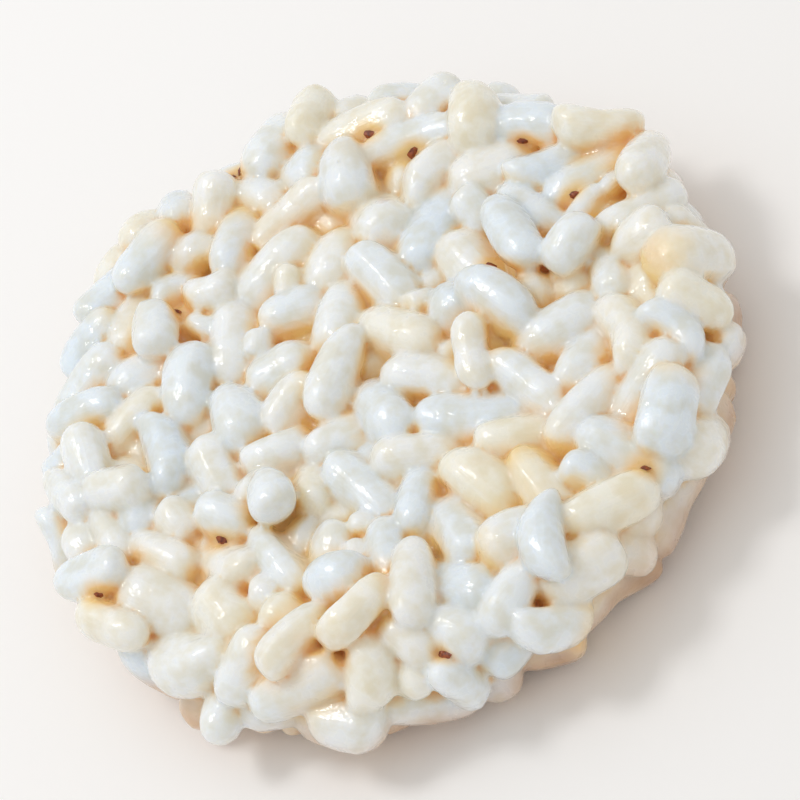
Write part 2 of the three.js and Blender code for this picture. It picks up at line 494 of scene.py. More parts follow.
grain_colour, mottle_colour = [
    add_node(tree, "ShaderNodeValToRGB", {"Fac": steered_by}, color_ramp=stops).outputs[0]
    for stops, steered_by in ((GRAIN_TINTS, carried["tint"]["Fac"]), (MOTTLING, noises["mottle"]))
]
mottled = add_node(
    tree,
    "ShaderNodeMix",
    {0: 1.0, 6: grain_colour, 7: mottle_colour},
    data_type="RGBA",
    blend_type="MULTIPLY",
).outputs[2]
print("tints:", len(GRAIN_TINTS))

# %% [markdown]
# How much syrup a part of the cake holds comes from the patches. A point is stained golden by how
# little air reaches it. That colour is partly the syrup that pools there and partly painted shade
# of the pits and creases. In a part that holds much syrup, fairly open points are stained too.

# %% Finish: where the syrup collects and painted crevice shade falls
RANGE = ("Value", "From Min", "From Max", "To Min", "To Max")  # a Map Range node's inputs
PATCH_RANGE = (0.3, 0.7)
SYRUP_SHARE = (0.26, 0.73)  # the openness to start from, in the driest and the wettest parts
SYRUP_AND_SHADE_REACH = (-0.25, 0.5)  # the stain is full this far below it, and ends this far above it

# The share sets where the golden colour starts: partly syrup, partly painted shade of pits and
# creases.
share = add_node(
    tree, "ShaderNodeMapRange", dict(zip(RANGE, (noises["patches"], *PATCH_RANGE, *SYRUP_SHARE)))
).outputs["Result"]
openness_past_share = add_node(
    tree, "ShaderNodeMath", {0: carried["openness"]["Fac"], 1: share}, operation="SUBTRACT"
).outputs[0]
# Painted shade with the syrup: the less open a point, the more golden and darker it is made.
syrup_and_shade_amount = add_node(
    tree,
    "ShaderNodeMapRange",
    dict(zip(RANGE, (openness_past_share, *SYRUP_AND_SHADE_REACH, 1.0, 0.0))),
    interpolation_type="SMOOTHSTEP",
).outputs["Result"]
print("syrup share:", SYRUP_SHARE)

# %% [markdown]
# Some of the syrup ran down the rim while it set, and browned there against the hot mould. The tan
# is also painted shade: the lower rim is made darker and warmer all round, as a rim in shade. The
# run lies low and far out, and the patches make its upper edge ragged.

# %% Finish: the run and painted shade low on the rim
# Painted shade with the run: the lower rim is made tan and darker all round.
RUN_AND_SHADE_HEIGHTS = (2 * MM, 8.5 * MM)  # full below the first, none above the second
RUN_AND_SHADE_RADII = (22 * MM, 33 * MM)  # none within the first, full beyond the second
RUN_AND_SHADE_MOST = 0.9  # some of the rice shows through
RAGGED = 14 * MM  # the height that the whole range of the patches would move the edge by

up = add_node(tree, "ShaderNodeSeparateXYZ", {"Vector": place}).outputs["Z"]
uneven = add_node(
    tree, "ShaderNodeMath", {0: noises["patches"], 1: 0.5}, operation="SUBTRACT"
).outputs[0]
ragged_up = add_node(
    tree, "ShaderNodeMath", {0: uneven, 1: -RAGGED, 2: up}, operation="MULTIPLY_ADD"
).outputs[0]
across = add_node(
    tree, "ShaderNodeVectorMath", {0: place, 1: (1, 1, 0)}, operation="MULTIPLY"
).outputs[0]
from_axis = add_node(tree, "ShaderNodeVectorMath", {0: across}, operation="LENGTH").outputs["Value"]
low_down, far_out = [
    add_node(
        tree, "ShaderNodeMapRange", dict(zip(RANGE, values)), interpolation_type="SMOOTHSTEP"
    ).outputs["Result"]
    for values in ((ragged_up, *RUN_AND_SHADE_HEIGHTS, RUN_AND_SHADE_MOST, 0.0), (from_axis, *RUN_AND_SHADE_RADII))
]
# How much browned run and painted rim shade a point takes.
run_and_rim_shade = add_node(
    tree, "ShaderNodeMath", {0: low_down, 1: far_out}, operation="MULTIPLY"
).outputs[0]
print("run on the rim, mm high:", [round(v / MM, 1) for v in RUN_AND_SHADE_HEIGHTS])

# %% [markdown]
# The stain is partly syrup and partly painted shade of the pits and creases. It is pale gold where
# the syrup stayed light, and a little more orange where it scorched. The run, with the painted
# shade of the lower rim, goes over the rice's own colour first, and the stain over both.

# %% Finish: golden, brown and tan
# Gold and orange for the syrup, which also stand for painted shade in the pits and creases.
GOLDEN_SYRUP_AND_SHADE = [(0, "#F7EDD2"), (0.4, "#F6E2B6"), (0.75, "#F3DAA8"), (1, "#F2D494")]
BROWN_SYRUP_AND_SHADE = [(0, "#F8EDD6"), (0.4, "#F8E0BA"), (0.75, "#F4D4A4"), (1, "#F2CA8A")]
# Browned syrup and painted shade of the lower rim.
RUN_TAN_AND_SHADE = [(0.38, "#DDB88F"), (0.62, "#BE8E5E")]
BROWN_RANGE = (0.38, 0.6)

how_brown = add_node(
    tree, "ShaderNodeMapRange", dict(zip(RANGE, (noises["scorching"], *BROWN_RANGE)))
).outputs["Result"]
golden, browner, tan_and_shade = [
    add_node(tree, "ShaderNodeValToRGB", {"Fac": steered_by}, color_ramp=stops).outputs[0]
    for stops, steered_by in (
        (GOLDEN_SYRUP_AND_SHADE, syrup_and_shade_amount),
        (BROWN_SYRUP_AND_SHADE, syrup_and_shade_amount),
        (RUN_TAN_AND_SHADE, noises["scorching"]),
    )
]
syrup_shade_colour, browned_and_shaded = [
    add_node(tree, "ShaderNodeMix", {0: amount, 6: under, 7: over}, data_type="RGBA").outputs[2]
    for amount, under, over in ((how_brown, golden, browner), (run_and_rim_shade, mottled, tan_and_shade))
]
# The syrup colour and the painted pit and crease shade go over the rice and the rim.
stained_and_shaded = add_node(
    tree, "ShaderNodeMix", {0: syrup_and_shade_amount, 6: browned_and_shaded, 7: syrup_shade_colour}, data_type="RGBA"
).outputs[2]
tree.links.new(stained_and_shaded, shader.inputs["Base Color"])
print("stain stops:", len(GOLDEN_SYRUP_AND_SHADE))

# %% [markdown]
# The grain's skin has fine lengthwise streaks, which are what is left of the bran's ribs, and the
# foam's pits. The hard syrup over both is a clear coat with ripples of its own, which break its
# bright points up. Light that gets into the foam and out again, about two millimetres away, makes
# it milky.

# %% Finish: relief, milkiness and gloss
STREAK_SCALE = (0.8, 5.0, 5.0)  # features on half a grain's length, width and height
SKIN_ROUGHNESS = (0.38, 0.2)  # of the cream mottles and of the white ones

streak_place = add_node(
    tree, "ShaderNodeMapping", {"Vector": carried["grain_place"]["Vector"], "Scale": STREAK_SCALE}
).outputs[0]
streaks = add_node(
    tree, "ShaderNodeTexNoise", {"Vector": streak_place, "Scale": 1.0, "Detail": 2}
).outputs["Fac"]
relief = {}
for name, height, strength, depth, under in (  # depth in millimetres
    ("streaks", streaks, 0.35, 0.25, None),
    ("pits", noises["pits"], 0.35, 0.08, "streaks"),
    ("ripples", noises["ripples"], 0.7, 0.3, None),
):
    inputs = {"Height": height, "Strength": strength, "Distance": depth * MM}
    if under:
        inputs["Normal"] = relief[under]
    relief[name] = add_node(tree, "ShaderNodeBump", inputs).outputs["Normal"]
roughness = add_node(
    tree, "ShaderNodeMapRange", dict(zip(RANGE, (noises["mottle"], 0, 1, *SKIN_ROUGHNESS)))
).outputs["Result"]
for name, output in {
    "Normal": relief["pits"],
    "Coat Normal": relief["ripples"],
    "Roughness": roughness,
}.items():
    tree.links.new(output, shader.inputs[name])
for name, value in {
    "IOR": 1.45,
    "Subsurface Weight": 0.85,
    "Subsurface Radius": (1.0, 0.95, 0.85),
    "Subsurface Scale": 2.2 * MM,
    "Coat Weight": 0.7,
    "Coat Roughness": 0.05,
    "Coat IOR": 1.49,
}.items():
    shader.inputs[name].default_value = value
print("rice finish:", len(tree.nodes), "nodes")

# %% [markdown]
# ## The grain shapes
# A grain is a blunt spindle of one of seven kinds: plump, tapered, creased along one side, waisted,
# flat-sided, lop-sided and broken off. Each is one small mesh with its sides in rings, and every
# grain of the cake is a turned, stretched and bent copy of one of them. A grain keeps its own
# measure of where a point lies along it and around it, for the bend and for the streaks.

# %% Grain shapes
GRAIN_SIDES = 14
GRAIN_RINGS = 10
WAIST_LENGTH = 0.35  # of half the grain
CREASE_WIDTH = 0.5  # an angle round the grain
FLATS = 4  # this many on each half of the way round

# For each kind: taper, crease depth, waist, flats, where it is broken off (1 is whole), and how
# blunt its ends are (1 gives an ellipsoid, less is blunter).
GRAIN_KINDS = {
    "a_plump": (0.05, 0.0, 0.0, 0.0, 1.0, 0.72),
    "b_tapered": (0.26, 0.03, 0.0, 0.0, 1.0, 0.85),
    "c_creased": (0.06, 0.22, 0.0, 0.0, 1.0, 0.75),
    "d_waisted": (-0.1, 0.0, 0.14, 0.0, 1.0, 0.78),
    "e_flat_sided": (0.1, 0.0, 0.04, 0.1, 1.0, 0.66),
    "f_lop_sided": (-0.2, 0.12, 0.05, 0.06, 1.0, 0.75),
    "g_broken": (0.1, 0.05, 0.0, 0.06, 0.45, 0.75),
}


def blunted(value, power):
    return np.sign(value) * np.abs(value) ** power


def grain_shape(name, taper, crease, waist, flats, broken_at, bluntness):
    rings = np.pi * np.arange(1, GRAIN_RINGS) / GRAIN_RINGS
    around = 2 * np.pi * np.arange(GRAIN_SIDES) / GRAIN_SIDES
    along = np.repeat(-np.cos(rings), GRAIN_SIDES)
    girth = np.repeat(blunted(np.sin(rings), bluntness), GRAIN_SIDES)
    angle = np.tile(around, len(rings))
    girth = girth * (1 - taper * along) * (1 - waist * np.exp(-((along / WAIST_LENGTH) ** 2)))
    off_crease = np.abs(np.angle(np.exp(1j * (angle - np.pi / 2)))) / CREASE_WIDTH
    girth = girth * (1 - crease * np.exp(-(off_crease**2)) * (1 - along**2) ** 0.5)
    girth = girth * (1 - flats * np.cos(FLATS * angle) ** 2)
    x = blunted(np.minimum(along, broken_at), bluntness)
    places = np.stack([x, girth * np.cos(angle), girth * np.sin(angle) * GRAIN_FLATNESS], axis=1)
    measures = np.stack([along, np.cos(angle), np.sin(angle)], axis=1)
    tip = blunted(np.array([broken_at]), bluntness)[0]
    places = np.vstack([[-1, 0, 0], places, [tip, 0, 0]])
    measures = np.vstack([[-1, 0, 0], measures, [1, 0, 0]])
    last = len(places) - 1
    start_of_last = 1 + (GRAIN_RINGS - 2) * GRAIN_SIDES
    faces = []
    for j in range(GRAIN_SIDES):
        k = (j + 1) % GRAIN_SIDES
        faces.append((0, 1 + k, 1 + j))
        faces.append((last, start_of_last + j, start_of_last + k))
        for ring in range(GRAIN_RINGS - 2):
            a = 1 + ring * GRAIN_SIDES
            b = a + GRAIN_SIDES
            faces.append((a + j, a + k, b + k, b + j))
    mesh = bpy.data.meshes.new(name)
    mesh.from_pydata(places.tolist(), [], faces)
    measure = mesh.attributes.new("grain_place", "FLOAT_VECTOR", "POINT")
    measure.data.foreach_set("vector", measures.ravel().astype(np.float32))
    return bpy.data.objects.new(name, mesh)


grain_kinds = bpy.data.collections.new("grain kinds")
for name, form in GRAIN_KINDS.items():
    grain_kinds.objects.link(grain_shape(name, *form))

# %% [markdown]
# Every grain becomes a bare point that carries what the node tree needs: its number, its turn, its
# size, its kind and the way its tips rise. Whole grains take any kind but the broken one, and the
# crumbs are mostly broken.

# %% Grain places as points
BROKEN_KIND = len(GRAIN_KINDS) - 1
BROKEN_SHARE = 0.6  # of the crumbs; the others are small plump grains


def write_attribute(mesh, name, kind, values):
    key = "vector" if kind == "FLOAT_VECTOR" else "value"
    attribute = mesh.attributes.new(name, kind, "POINT")
    attribute.data.foreach_set(key, np.asarray(values).ravel())


def grain_turn(axis, roll):
    lie = Vector((1, 0, 0)).rotation_difference(Vector(axis))
    return lie @ Quaternion((1, 0, 0), roll)


turns = [grain_turn(axis, roll) for axis, roll in zip(pile["axis"], pile["roll"])]
rise = np.array([turn @ Vector((0, 0, 1)) for turn in turns])
rise *= (pile["bend"] * pile["length"] * MM)[:, None]
sizes = np.stack([pile["length"], pile["width"], pile["width"]], axis=1) / 2 * MM
count = len(pile["length"])
kinds = chance.integers(0, BROKEN_KIND, count)
broken = chance.random(count - whole_count) < BROKEN_SHARE
kinds[whole_count:] = np.where(broken, BROKEN_KIND, 0)
tints = chance.random(count)

points = bpy.data.meshes.new("grain places")
points.from_pydata((pile["centre"] * MM).tolist(), [], [])
write_attribute(points, "turn", "QUATERNION", np.array([tuple(turn) for turn in turns]))
write_attribute(points, "size", "FLOAT_VECTOR", sizes)
write_attribute(points, "kind", "INT", kinds)
write_attribute(points, "grain", "INT", np.arange(count))
write_attribute(points, "rise", "FLOAT_VECTOR", rise)
print(count, "points")

# %% [markdown]
# The node tree puts the chosen shape on every point, makes the copies real, bends them, gives each
# its own lumps, and lays the lowest ones flat on the table. Realize Instances comes before the
# bending and Set Material at the end, so that what leaves it is a plain mesh with a finish.

# %% Node tree: inputs and what the points carry
tree = bpy.data.node_groups.new("Grains on their places", "GeometryNodeTree")
for name, way, kind in (
    ("Geometry", "OUTPUT", "Geometry"),
    ("Geometry", "INPUT", "Geometry"),
    ("Grain kinds", "INPUT", "Collection"),
    ("Lump height", "INPUT", "Float"),
    ("Lumps per metre", "INPUT", "Float"),
    ("Finish", "INPUT", "Material"),
):
    tree.interface.new_socket(name=name, in_out=way, socket_type="NodeSocket" + kind)
given = add_node(tree, "NodeGroupInput").outputs
carried = {
    name: add_node(
        tree, "GeometryNodeInputNamedAttribute", {"Name": name}, data_type=kind
    ).outputs["Attribute"]
    for name, kind in {
        "kind": "INT",
        "turn": "QUATERNION",
        "size": "FLOAT_VECTOR",
        "rise": "FLOAT_VECTOR",
        "grain_place": "FLOAT_VECTOR",
    }.items()
}
print("each point carries:", list(carried))

# %% Node tree: copies on the points, bent
shapes = add_node(
    tree,
    "GeometryNodeCollectionInfo",
    {"Collection": given["Grain kinds"], "Separate Children": True, "Reset Children": True},
)
placed = add_node(
    tree,
    "GeometryNodeInstanceOnPoints",
    {
        "Points": given["Geometry"],
        "Instance": shapes.outputs["Instances"],
        "Pick Instance": True,
        "Instance Index": carried["kind"],
        "Rotation": carried["turn"],
        "Scale": carried["size"],
    },
)
real = add_node(tree, "GeometryNodeRealizeInstances", {"Geometry": placed.outputs["Instances"]})
along = add_node(tree, "ShaderNodeSeparateXYZ", {"Vector": carried["grain_place"]}).outputs["X"]
square = add_node(tree, "ShaderNodeMath", {0: along, 1: 2.0}, operation="POWER").outputs[0]
arch = add_node(
    tree, "ShaderNodeMath", {0: square, 1: BEND_CENTRE}, operation="SUBTRACT"
).outputs[0]
bent_by = add_node(
    tree, "ShaderNodeVectorMath", {"Vector": carried["rise"], "Scale": arch}, operation="SCALE"
).outputs[0]
bent = add_node(
    tree, "GeometryNodeSetPosition", {"Geometry": real.outputs["Geometry"], "Offset": bent_by}
)
print("grain tree:", len(tree.nodes), "nodes")

# %% Node tree: lumps, the table and the finish
spot = add_node(tree, "GeometryNodeInputPosition").outputs["Position"]
outward = add_node(tree, "GeometryNodeInputNormal").outputs["Normal"]
lump = add_node(
    tree, "ShaderNodeTexNoise", {"Vector": spot, "Scale": given["Lumps per metre"]}
).outputs["Fac"]
lump_sign = add_node(tree, "ShaderNodeMath", {0: lump, 1: 0.5}, operation="SUBTRACT").outputs[0]
lump_by = add_node(
    tree, "ShaderNodeMath", {0: lump_sign, 1: given["Lump height"]}, operation="MULTIPLY"
).outputs[0]
lump_offset = add_node(
    tree, "ShaderNodeVectorMath", {"Vector": outward, "Scale": lump_by}, operation="SCALE"
).outputs[0]
on_table = add_node(
    tree, "ShaderNodeVectorMath", {0: spot, 1: (-1.0, -1.0, 0.0)}, operation="MAXIMUM"
).outputs[0]
made = bent
for kind, inputs in (
    ("GeometryNodeSetPosition", {"Offset": lump_offset}),
    ("GeometryNodeSetPosition", {"Position": on_table}),
    ("GeometryNodeSetShadeSmooth", {}),
    ("GeometryNodeSetMaterial", {"Material": given["Finish"]}),
    ("NodeGroupOutput", {}),
):
    made = add_node(tree, kind, {"Geometry": made.outputs["Geometry"], **inputs})
print("grain tree:", len(tree.nodes), "nodes")

# %% [markdown]
# A modifier's inputs are set by their identifiers before it is first worked out, and then its
# result is taken as a plain mesh. The modifier and the sample shapes are no longer needed.


# %% Make the grains
LUMP_HEIGHT = 0.55
LUMP_SIZE = 2.8


def run_modifiers(mesh, stack):
    """The mesh after a stack of modifiers, each a kind, its settings and a tree's inputs."""
    source = put_in_scene("source", mesh)
    for kind, settings, inputs in stack:
        modifier = source.modifiers.new(kind.lower(), kind)
        for key, value in settings.items():
            setattr(modifier, key, value)
        for name, value in inputs.items():
            modifier[modifier.node_group.interface.items_tree[name].identifier] = value
    ready = source.evaluated_get(bpy.context.evaluated_depsgraph_get())
    made = bpy.data.meshes.new_from_object(ready)
    source.modifiers.clear()
    bpy.data.objects.remove(source)
    return made


def triangle_count(mesh):
    return sum(len(polygon.vertices) - 2 for polygon in mesh.polygons)


grain_inputs = {
    "Grain kinds": grain_kinds,
    "Lump height": LUMP_HEIGHT * MM,
    "Lumps per metre": SCALE_PER_MM / LUMP_SIZE,
    "Finish": rice,
}
loose_grains = run_modifiers(points, [("NODES", {"node_group": tree}, grain_inputs)])
for shape in list(grain_kinds.objects):
    bpy.data.objects.remove(shape)
bpy.data.collections.remove(grain_kinds)
print("loose grains:", triangle_count(loose_grains), "triangles")

# %% [markdown]
# ## Grains set together
# The soft grains are pressed into the gaps beside them, and the syrup sets them fast, so the face
# of a real cake is nearly closed: there is a soft crease at each contact, and a small deep pit
# where three or four grains meet. Meshes that only cut through each other would show knife-sharp
# lines, and light could not pass from one into the next. So each grain's flanks are bulged below
# its crown, more in some patches than in others, and a voxel remesh fuses the grains with a plain
# core that stops the view through the cake.

# %% The core under the grains
CORE_DEPTH = 2.6  # millimetres under the mould's wall
CORE_SIDES = 64
CORE_STEPS = 5


def core_mesh(depth):
    """A disc with a rounded edge, everywhere the same depth under the mould's wall."""
    radius = EDGE_RADIUS - depth
    reach = CAKE_DIAMETER / 2 - EDGE_RADIUS
    low = EDGE_RADIUS - PRESSED_FLAT
    high = CAKE_THICKNESS - EDGE_RADIUS
    profile = []
    for height, start in ((low, -math.pi / 2), (high, 0)):
        for i in range(CORE_STEPS + 1):
            angle = start + math.pi / 2 * i / CORE_STEPS
            profile.append((reach + radius * math.cos(angle), height + radius * math.sin(angle)))
    places = []
    for out, height in profile:
        for j in range(CORE_SIDES):
            around = 2 * math.pi * j / CORE_SIDES
            spot = (out * math.cos(around), out * math.sin(around), height)
            places.append(tuple((MOULD_PLACE + spot) * MM))
    faces = [tuple(range(CORE_SIDES))[::-1]]
    for i in range(len(profile) - 1):
        for j in range(CORE_SIDES):
            k = (j + 1) % CORE_SIDES
            a = i * CORE_SIDES
            b = a + CORE_SIDES
            faces.append((a + j, a + k, b + k, b + j))
    faces.append(tuple(range((len(profile) - 1) * CORE_SIDES, len(profile) * CORE_SIDES)))
    return places, faces


core_places, core_faces = core_mesh(CORE_DEPTH)
print("core:", len(core_faces), "faces")

# %% [markdown]
# Swollen grains and the core go through a short stack of modifiers, and the result is kept as a
# plain mesh. The remesh also skins the hollows that the grains shut in. Nobody sees those, so only
# the largest connected part is kept, and then it is thinned where it is smooth.


# %% Swell the grains and add the core
GRAIN_SWELL = 0.14  # makes up for what the smoothing takes off
BULGE = (0.1, 0.65)  # how far a grain's flank was pressed into the gap beside it, by patches
PATCH_SIZE = 11.0
BULGE_DEPTH = (1.2, 2.7)  # where the bulge begins and where it is full, under the wall


def places_and_normals(mesh):
    tables = []
    for key in ("co", "normal"):
        table = np.zeros(3 * len(mesh.vertices), np.float32)
        mesh.vertices.foreach_get(key, table)
        tables.append(table.reshape(-1, 3))
    return tables


def swollen_with_core(loose):
    """The loose grains, each point moved outwards, and the core, as one mesh."""
    places, normals = places_and_normals(loose)
    under = (depth_under_wall(places / MM - MOULD_PLACE) - BULGE_DEPTH[0]) / np.ptp(BULGE_DEPTH)
    under = np.clip(under, 0, 1)
    under = under**2 * (3 - 2 * under)  # a smooth start and a smooth end
    patch = np.array([noise.noise(Vector(spot) / (PATCH_SIZE * MM)) for spot in places])
    bulge = BULGE[0] + (BULGE[1] - BULGE[0]) * np.clip(0.5 + patch, 0, 1)
    swell_mm = GRAIN_SWELL + bulge * under
    places = places + swell_mm[:, None] * MM * normals
    faces = [tuple(p.vertices) for p in loose.polygons]
    faces += [tuple(len(places) + v for v in face) for face in core_faces]
    mesh = bpy.data.meshes.new("grains and core")
    mesh.from_pydata([*places.tolist(), *core_places], [], faces)
    return mesh


swollen = swollen_with_core(loose_grains)
print("grains and core:", triangle_count(swollen), "triangles")


# %% Fuse them
GRAIN_VOXEL = 0.28
SMOOTHINGS = 2
MOST_TRIANGLES = 190000


def edge_ends(mesh):
    ends = np.zeros(2 * len(mesh.edges), np.int32)
    mesh.edges.foreach_get("vertices", ends)
    return ends.reshape(-1, 2).T


def keep_largest_part(mesh):
    """Every point takes the lowest number it is joined to; points that share one are one part."""
    first, second = edge_ends(mesh)
    part = np.arange(len(mesh.vertices))
    while True:
        lowest = np.minimum(part[first], part[second])
        joined = part.copy()
        np.minimum.at(joined, first, lowest)
        np.minimum.at(joined, second, lowest)
        joined = joined[joined]
        if (joined == part).all():
            break
        part = joined
    largest = np.bincount(part).argmax()
    form = bmesh.new()
    form.from_mesh(mesh)
    loose = [vertex for vertex in form.verts if part[vertex.index] != largest]
    bmesh.ops.delete(form, geom=loose, context="VERTS")
    form.to_mesh(mesh)
    form.free()


fused = run_modifiers(
    swollen,
    [
        ("REMESH", {"mode": "VOXEL", "voxel_size": GRAIN_VOXEL * MM}, {}),
        ("SMOOTH", {"iterations": SMOOTHINGS}, {}),
    ],
)
keep_largest_part(fused)
fused_count = triangle_count(fused)
keep_share = min(1.0, MOST_TRIANGLES / fused_count)
skin = run_modifiers(fused, [("DECIMATE", {"ratio": keep_share}, {})])
for vertex in skin.vertices:
    vertex.co.z = max(vertex.co.z, 0.0)  # nothing sinks into the table
skin.name = "puffed_grains"
skin.materials.clear()
skin.materials.append(rice)
skin.shade_smooth()
puffed_grains = put_in_scene("puffed_grains", skin)
print("fused grains:", fused_count, "triangles, kept:", triangle_count(skin))

# %% [markdown]
# How open a point lies is measured by looking out of it in many directions and counting the ones
# that meet no grain within a few millimetres. Crowns see nearly everything, and pits see next to
# nothing.

# %% Openness of every point
LOOK_REACH = 3.0 * MM
LOOKS = 40
LOOK_START = 0.1 * MM
LEAST_SLANT = 0.15  # looks closer to the surface than this are skipped
EVEN_ROUNDS = 3


def surface_of(mesh):
    places = [tuple(vertex.co) for vertex in mesh.vertices]
    return BVHTree.FromPolygons(places, [tuple(p.vertices) for p in mesh.polygons])


def look_directions():
    steps = np.arange(LOOKS) + 0.5
    height = 1 - 2 * steps / LOOKS
    out = np.sqrt(1 - height**2)
    around = GOLDEN_ANGLE * steps
    return np.stack([out * np.cos(around), out * np.sin(around), height], axis=1)


def even_out(mesh, values, rounds):
    """Each point moves half way to the mean of its neighbours, round by round."""
    first, second = edge_ends(mesh)
    degree = np.bincount(np.concatenate([first, second]), minlength=len(values))
    for _ in range(rounds):
        total = np.zeros(len(values))
        np.add.at(total, first, values[second])
        np.add.at(total, second, values[first])
        values = (values + total / degree) / 2
    return values


def openness_of(mesh, surface):
    table = look_directions()
    looks = [Vector(look) for look in table]
    values = np.zeros(len(mesh.vertices))
    for i, vertex in enumerate(mesh.vertices):
        start = vertex.co + LOOK_START * vertex.normal
        seen = total = 0.0
        for look, slant in zip(looks, (table @ np.array(vertex.normal)).tolist()):
            if slant < LEAST_SLANT:
                continue
            total += slant
            if surface.ray_cast(start, look, LOOK_REACH)[0] is None:
                seen += slant
        values[i] = seen / total
    return even_out(mesh, values, EVEN_ROUNDS)


# Openness steers the golden colour, which is partly syrup and partly painted shade in the pits and
# creases.
surface = surface_of(skin)
open_share = openness_of(skin, surface)
print("openness:", np.percentile(open_share, (1, 5, 25, 50, 75)).round(2))

# %% [markdown]
# Thin syrup also clings in the narrow crease where two grains touch, and painted crease shade is
# added with it: the crease counts as less open, so it takes more of the golden colour. How hollow
# the
# skin is there comes from its edges: where the neighbours of a point stand above it, the surface
# curves inwards.

# %% Hollowness of every point
HOLLOW_RANGE = (0.3, 1.4)  # one over the radius of the hollow in millimetres
HOLLOW_SHARE = 0.18  # how much less open the deepest crease seems


def hollow_of(mesh):
    """The mean inward curve at each point, one over millimetres."""
    first, second = edge_ends(mesh)
    places, normals = places_and_normals(mesh)
    places = places / MM
    count = len(places)
    toward = places[second] - places[first]
    square = np.maximum((toward**2).sum(axis=1), 1e-6)
    bend = np.zeros(count)
    np.add.at(bend, first, 2 * (toward * normals[first]).sum(axis=1) / square)
    np.add.at(bend, second, -2 * (toward * normals[second]).sum(axis=1) / square)
    degree = np.bincount(np.concatenate([first, second]), minlength=count)
    return even_out(mesh, bend / np.maximum(degree, 1), EVEN_ROUNDS)


hollow = hollow_of(skin)
print("hollow, 1/mm:", np.percentile(hollow, (5, 25, 50, 75, 90, 95, 99)).round(2))
crease = np.clip((hollow - HOLLOW_RANGE[0]) / np.ptp(HOLLOW_RANGE), 0, 1)
# Creases count as less open, so they take more golden colour: partly syrup, partly painted crease
# shade.
open_share = open_share - HOLLOW_SHARE * crease
write_attribute(skin, "openness", "FLOAT", open_share.astype(np.float32))

# %% [markdown]
# Each point of the skin belongs to the grain it is nearest to. It takes that grain's tint, evened
# out where two grains meet, and its place on the grain's own length and girth, for the streaks. One
# tip of every fifth grain or so lay against the hot mould and is golden, so it counts as less open.

# %% Tint and place on the grain
TINT_ROUNDS = 3
TIP_START = 0.2  # of the half length
TIP_DEPTH = 0.38  # how much less open a golden tip seems
GOLDEN_TIPS = 0.78  # a higher mark leaves fewer grains with one
TIP_WAVES = 50  # makes a draw of its own out of a grain's tint

loose_surface = surface_of(loose_grains)
loose_owner = np.zeros(len(loose_grains.vertices), np.int32)
loose_grains.attributes["grain"].data.foreach_get("value", loose_owner)
turn_tables = np.array([turn.to_matrix() for turn in turns])
spots = np.array([tuple(vertex.co) for vertex in skin.vertices])
faces = [loose_surface.find_nearest(vertex.co)[2] for vertex in skin.vertices]
owner = loose_owner[[loose_grains.polygons[face].vertices[0] for face in faces]]
skin_tints = even_out(skin, tints[owner], TINT_ROUNDS)
write_attribute(skin, "tint", "FLOAT", skin_tints.astype(np.float32))
away = spots - pile["centre"][owner] * MM
on_grain = np.einsum("nji,nj->ni", turn_tables[owner], away) / sizes[owner]
write_attribute(skin, "grain_place", "FLOAT_VECTOR", on_grain.astype(np.float32))
golden_tip = np.sin(TIP_WAVES * tints) > GOLDEN_TIPS
to_tip = np.clip((on_grain[:, 0] - TIP_START) / (1 - TIP_START), 0, 1)
tip_share = even_out(skin, TIP_DEPTH * golden_tip[owner] * to_tip, TINT_ROUNDS)
bpy.data.meshes.remove(loose_grains)
print("grains in the skin:", len(np.unique(owner)), "of", count, "golden tips:", golden_tip.sum())

# %% [markdown]
# ## Bran specks
# A little dark bran stays on some grains and scorches when they puff. The specks are flakes of one
# to one and a half millimetres that stick at the mouths of the gaps, each in a small halo of
# browned syrup, and there are only a few on each side.

# %% Finish: scorched bran
SCORCHED = [(0.35, "#5E2412"), (0.65, "#A0522C")]
SCORCH_SIZE = 1 / 3  # millimetres

# Scorched rice bran gives the eye dull, warm dark points, with only a trace of the syrup's gloss.
bran = bpy.data.materials.new("scorched rice bran")
bran.use_nodes = True
tree = bran.node_tree
shader = tree.nodes["Principled BSDF"]
place = add_node(tree, "ShaderNodeTexCoord").outputs["Object"]
scorch = add_node(
    tree, "ShaderNodeTexNoise", {"Vector": place, "Scale": SCALE_PER_MM / SCORCH_SIZE, "Detail": 2}
)
scorch_colour = add_node(
    tree, "ShaderNodeValToRGB", {"Fac": scorch.outputs["Fac"]}, color_ramp=SCORCHED
)
tree.links.new(scorch_colour.outputs["Color"], shader.inputs["Base Color"])
shader.inputs["Roughness"].default_value = 0.45
shader.inputs["Coat Weight"].default_value = 0.1
print("bran finish:", len(tree.nodes), "nodes")

# %% Flakes of bran
# About where each speck lies, and its width, in millimetres.
TOP_SPECKS = [
    (2.0, 31.5, 1.2),
    (-1.5, 30.0, 1.3),
    (14.3, 24.4, 1.6),
    (16.5, 20.2, 1.3),
    (25.7, 13.4, 1.2),
    (26.0, 5.0, 1.2),
    (14.2, 1.9, 1.5),
    (-12.8, 20.0, 1.1),
    (-19.5, -5.5, 1.5),
    (17.7, -27.6, 1.2),
    (-8.8, -31.0, 1.6),
    (-31.0, -2.2, 0.9),
]
UNDERSIDE_SPECKS = [(9.0, 12.0, 1.3), (-15.0, 7.5, 1.2), (4.0, -21.0, 1.5), (-6.0, -4.0, 1.0)]
SPECK_SIDES = 8
SPECK_EDGE = (0.65, 0.35)  # its radius: the least, and what chance adds
SPECK_STRETCH = (1.4, 0.9)
SPECK_CURL = (0.1, 0.3)  # how far its edge curls, and the share of that which is downwards
SPECK_SUNK = 0.2
SPECK_RISE = 0.18
GAP_MOUTH = (0.4, 0.62)  # the openness at the mouth of a gap
FACE_HEIGHT = 3.5  # millimetres from half way up; the rim is left out
LEAST_UPRIGHT = 0.5
HALO_REACH = 2.3  # millimetres
HALO_DEPTH = 0.62  # how much less open the halo seems, so that it takes more stain


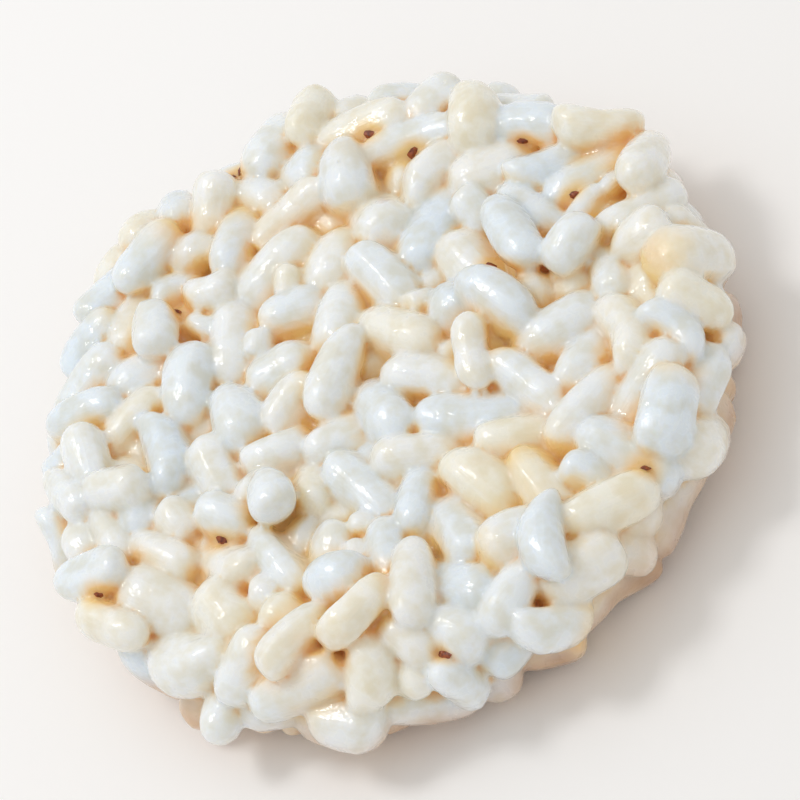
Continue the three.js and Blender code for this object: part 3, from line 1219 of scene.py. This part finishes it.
def flake(centre, normal, width):
    """A crumpled flat chip, lying on the surface."""
    lie = normal.to_track_quat("Z", "Y")
    corners = []
    for j in range(SPECK_SIDES):
        around = 2 * math.pi * j / SPECK_SIDES
        out = width / 2 * (SPECK_EDGE[0] + SPECK_EDGE[1] * chance.random())
        lift = width * SPECK_CURL[0] * (chance.random() - SPECK_CURL[1])
        x, y = SPECK_STRETCH[0] * out * math.cos(around), SPECK_STRETCH[1] * out * math.sin(around)
        corners.append((x, y, lift))
    places = [(0, 0, -SPECK_SUNK * width), *corners, (0, 0, SPECK_RISE * width)]
    faces = []
    for j in range(SPECK_SIDES):
        k = (j + 1) % SPECK_SIDES
        faces += [(0, 1 + k, 1 + j), (1 + SPECK_SIDES, 1 + j, 1 + k)]
    turn = Quaternion((0, 0, 1), 2 * math.pi * chance.random())
    return [centre + lie @ (turn @ Vector(p)) for p in places], faces


def gap_mouths(side):
    """The points of the skin at the mouths of gaps, on the top (1) or the underside (-1)."""
    upright = side * np.array([vertex.normal.z for vertex in skin.vertices])
    at_mouth = (open_share > GAP_MOUTH[0]) & (open_share < GAP_MOUTH[1])
    outer = side * (spots[:, 2] - CAKE_THICKNESS / 2 * MM) > FACE_HEIGHT * MM
    return spots[at_mouth & outer & (upright > LEAST_UPRIGHT)]


def speck_mesh():
    """The flakes as one mesh; each also lowers the openness of the skin around it."""
    places, faces = [], []
    halo = np.zeros(len(spots))
    for specks, side in ((TOP_SPECKS, 1), (UNDERSIDE_SPECKS, -1)):
        mouths = gap_mouths(side)
        for x, y, width in specks:
            away = np.hypot(mouths[:, 0] - x * MM, mouths[:, 1] - y * MM)
            spot, normal, _, _ = surface.find_nearest(Vector(mouths[away.argmin()]))
            made, sides = flake(spot, normal, width * MM)
            faces += [tuple(len(places) + i for i in face) for face in sides]
            places += [(p.x, p.y, max(p.z, 0.0)) for p in made]
            distance = np.linalg.norm(spots - np.array(spot), axis=1) / MM
            halo = np.maximum(halo, HALO_DEPTH * np.clip(1 - distance / HALO_REACH, 0, 1))
    # Halos and golden tips lower the openness that steers the colour; elsewhere that colour also
    # paints shade in pits.
    openness_for_colour = (open_share - np.maximum(halo, tip_share)).astype(np.float32)
    skin.attributes["openness"].data.foreach_set("value", openness_for_colour)
    made = bpy.data.meshes.new("bran_specks")
    made.from_pydata(places, [], faces)
    made.materials.append(bran)
    return made


bran_specks = put_in_scene("bran_specks", speck_mesh())
print("bran specks:", triangle_count(bran_specks.data), "triangles")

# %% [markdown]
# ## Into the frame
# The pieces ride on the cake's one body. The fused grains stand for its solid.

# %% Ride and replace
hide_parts("rice_cake")
for piece in (puffed_grains, bran_specks):
    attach(piece, "root")
